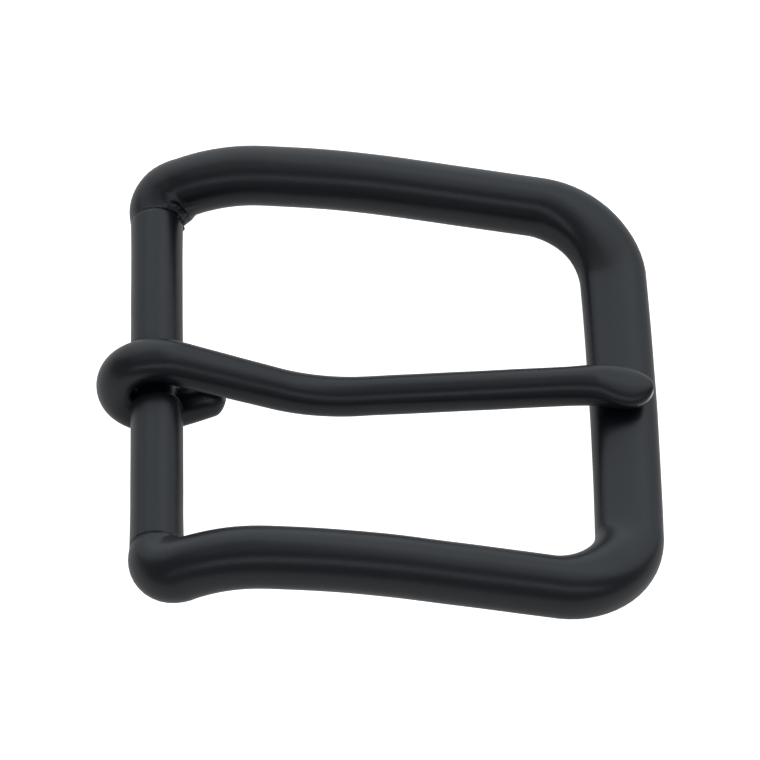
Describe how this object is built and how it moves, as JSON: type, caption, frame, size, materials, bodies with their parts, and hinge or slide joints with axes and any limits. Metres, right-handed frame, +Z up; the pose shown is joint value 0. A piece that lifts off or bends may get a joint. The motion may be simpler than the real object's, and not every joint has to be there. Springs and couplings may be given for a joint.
{
  "type": "belt buckle",
  "caption": "Heel-bar belt buckle: an arched bow of black coated steel rod and one hinged prong that rests on the flattened front bar.",
  "frame": {"origin": "centre of the heel bar's axis, midway between the side arms", "axes": "+X from the heel bar to the front bar, +Y along the heel bar, +Z up through the wearer's face"},
  "size_m": [0.0539, 0.0518, 0.0126],
  "materials": {
    "coated_steel": "satin black coating on steel",
    "coated_weld": "satin black coating over a ground weld bead"
  },
  "bodies": {
    "bow": {"frame": "coated_steel", "heel_bar": "coated_steel", "weld_far": "coated_weld", "weld_near": "coated_weld"},
    "tongue": {"prong": "coated_steel"}
  },
  "joints": [
    {"name": "prong_hinge", "type": "hinge", "parent": "bow", "child": "tongue", "pos_m": [0, -0.00035, 0], "axis": [0, -1, 0], "range_deg": [0, 349]}
  ]
}
